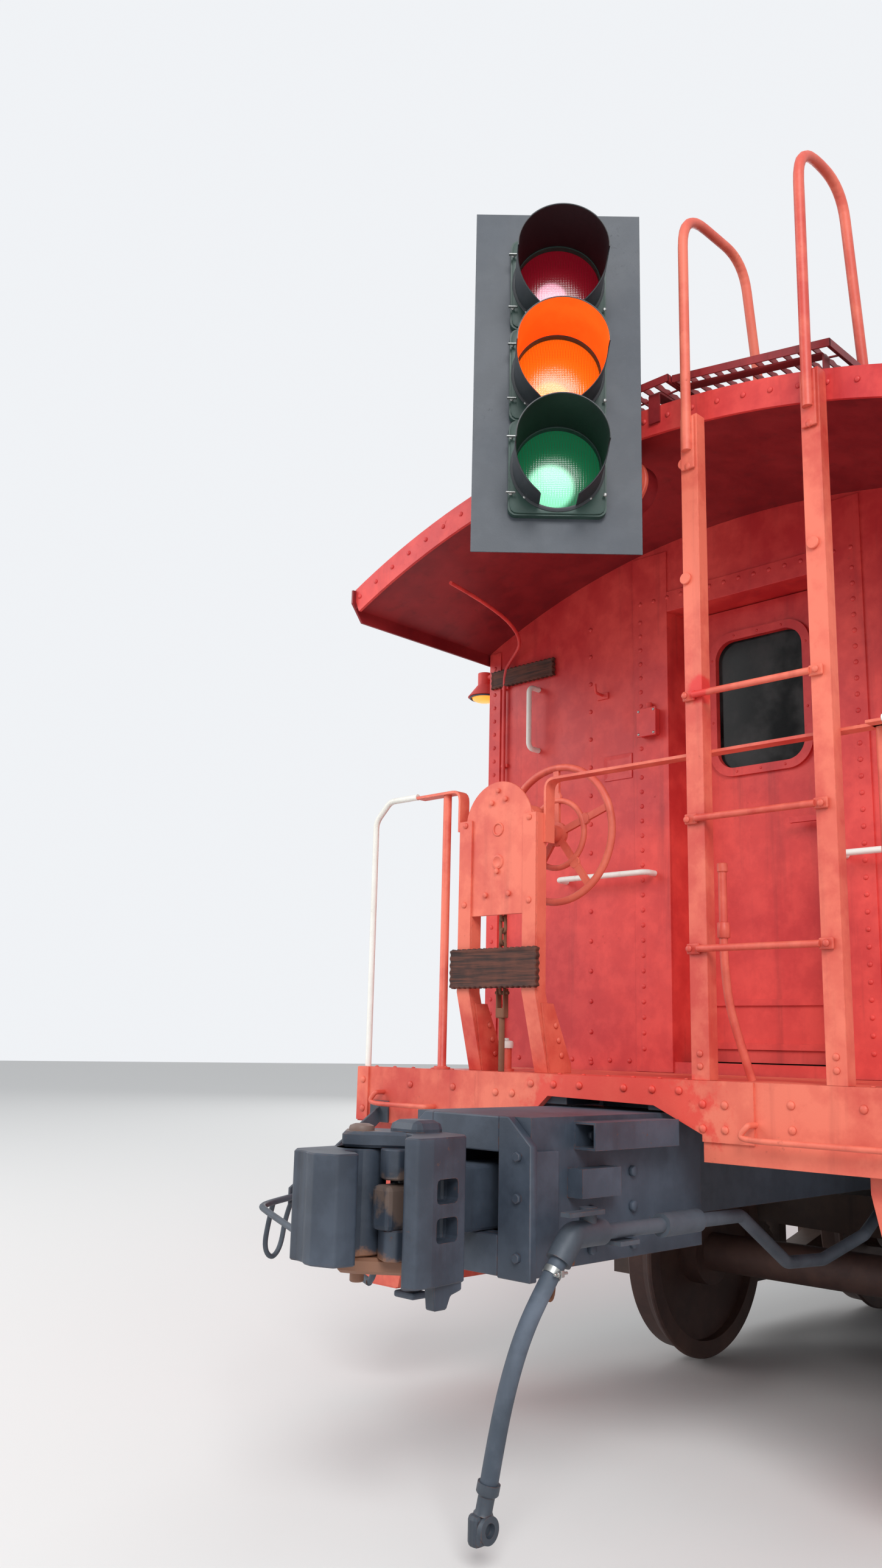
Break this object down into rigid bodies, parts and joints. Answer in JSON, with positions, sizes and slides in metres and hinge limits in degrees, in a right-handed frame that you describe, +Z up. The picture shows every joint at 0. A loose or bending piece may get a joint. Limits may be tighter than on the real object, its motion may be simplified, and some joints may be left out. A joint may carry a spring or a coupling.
{
  "type": "cupola caboose",
  "caption": "Riveted steel cupola caboose on two trucks, with end platforms, couplers, air hose and a traffic signal on one end.",
  "frame": {"origin": "middle of the car over the lowest point of the wheel flanges", "axes": "+X along the car, the hand brake end at -X; +Z up"},
  "size_m": [13.36, 3.1036, 4.4296],
  "materials": {
    "body_red": "faded satin paint",
    "trim_red": "sun-faded paint",
    "roof_red": "faded paint",
    "white_paint": "worn white paint",
    "underframe_grey": "dark blue-grey paint over rust",
    "running_gear": "rust brown",
    "wheel_steel": "rust brown, worn tread",
    "hose_rubber": "weathered",
    "fitting_metal": "dark paint",
    "dark_glass": "dark window glass",
    "sign_wood": "weathered dark wood",
    "signal_black": "slate grey enamel",
    "signal_green": "dark green enamel",
    "signal_lens": "coloured prismatic lens"
  },
  "bodies": {
    "car": {"underframe": "underframe_grey", "cross_bearers": "underframe_grey", "end_sill_b": "trim_red", "end_sill_a": "trim_red", "platform_decks": "trim_red", "platform_steps": "trim_red", "floor": "running_gear", "side_wall_left": "body_red", "side_wall_right": "body_red", "side_window_frames": "body_red", "side_window_glass": "dark_glass", "end_wall_b": "body_red", "end_wall_a": "body_red", "roof": "roof_red", "cupola_walls": "body_red", "cupola_glass": "dark_glass", "cupola_roof": "roof_red", "running_boards": "trim_red", "ladder_b": "trim_red", "ladder_a": "trim_red", "railing_b": "trim_red", "railing_a": "trim_red", "brake_stand": "trim_red", "brake_wheel": "trim_red", "brake_chain": "trim_red", "grab_irons": "white_paint", "sign_boards": "sign_wood", "end_lamps": "roof_red", "corner_lamps": "body_red", "draft_boxes": "underframe_grey", "uncoupling_levers": "underframe_grey", "brake_pipe": "fitting_metal", "angle_cock": "fitting_metal", "air_hose": "hose_rubber", "gladhand": "fitting_metal", "smoke_jack": "roof_red", "underfloor_gear": "underframe_grey", "signal_backplate": "signal_black", "signal_housing": "signal_green", "signal_lenses": "signal_lens", "signal_visors": "signal_black", "signal_bracket": "underframe_grey"},
    "truck_b": {"truck_frame_b": "running_gear", "truck_bolster_b": "running_gear", "truck_springs_b": "running_gear"},
    "truck_a": {"truck_frame_a": "running_gear", "truck_bolster_a": "running_gear", "truck_springs_a": "running_gear"},
    "wheels_b_outer": {"wheelset_b_outer": "wheel_steel"},
    "wheels_b_inner": {"wheelset_b_inner": "wheel_steel"},
    "wheels_a_inner": {"wheelset_a_inner": "wheel_steel"},
    "wheels_a_outer": {"wheelset_a_outer": "wheel_steel"},
    "door_leaf_b": {"door_b": "body_red", "door_glass_b": "dark_glass"},
    "coupler_body_b": {"coupler_b": "underframe_grey"},
    "knuckle_body_b": {"knuckle_b": "underframe_grey"},
    "door_leaf_a": {"door_a": "body_red", "door_glass_a": "dark_glass"},
    "coupler_body_a": {"coupler_a": "underframe_grey"},
    "knuckle_body_a": {"knuckle_a": "underframe_grey"}
  },
  "joints": [
    {"name": "truck_swivel_b", "type": "hinge", "parent": "car", "child": "truck_b", "pos_m": [-2.995, 0, 0.7], "axis": [0, 0, 1], "range_deg": [-8, 8]},
    {"name": "truck_swivel_a", "type": "hinge", "parent": "car", "child": "truck_a", "pos_m": [2.995, 0, 0.7], "axis": [0, 0, 1], "range_deg": [-8, 8]},
    {"name": "wheel_spin_b_outer", "type": "hinge", "parent": "truck_b", "child": "wheels_b_outer", "pos_m": [-3.833, 0, 0.444], "axis": [0, 1, 0], "continuous": true},
    {"name": "wheel_spin_b_inner", "type": "hinge", "parent": "truck_b", "child": "wheels_b_inner", "pos_m": [-2.157, 0, 0.444], "axis": [0, 1, 0], "continuous": true},
    {"name": "wheel_spin_a_inner", "type": "hinge", "parent": "truck_a", "child": "wheels_a_inner", "pos_m": [2.157, 0, 0.444], "axis": [0, 1, 0], "continuous": true},
    {"name": "wheel_spin_a_outer", "type": "hinge", "parent": "truck_a", "child": "wheels_a_outer", "pos_m": [3.833, 0, 0.444], "axis": [0, 1, 0], "continuous": true},
    {"name": "door_hinge_b", "type": "hinge", "parent": "car", "child": "door_leaf_b", "pos_m": [-4.362, 0.353, 2.2], "axis": [0, 0, 1], "range_deg": [0, 95]},
    {"name": "door_hinge_a", "type": "hinge", "parent": "car", "child": "door_leaf_a", "pos_m": [4.362, -0.353, 2.2], "axis": [0, 0, 1], "range_deg": [0, 95]},
    {"name": "coupler_swing_b", "type": "hinge", "parent": "car", "child": "coupler_body_b", "pos_m": [-5.855, 0, 0.888], "axis": [0, 0, 1], "range_deg": [-7, 7]},
    {"name": "coupler_swing_a", "type": "hinge", "parent": "car", "child": "coupler_body_a", "pos_m": [5.855, 0, 0.888], "axis": [0, 0, 1], "range_deg": [-7, 7]},
    {"name": "knuckle_open_b", "type": "hinge", "parent": "coupler_body_b", "child": "knuckle_body_b", "pos_m": [-6.435, 0.11, 0.888], "axis": [0, 0, -1], "range_deg": [0, 45]},
    {"name": "knuckle_open_a", "type": "hinge", "parent": "coupler_body_a", "child": "knuckle_body_a", "pos_m": [6.435, -0.11, 0.888], "axis": [0, 0, -1], "range_deg": [0, 45]}
  ]
}
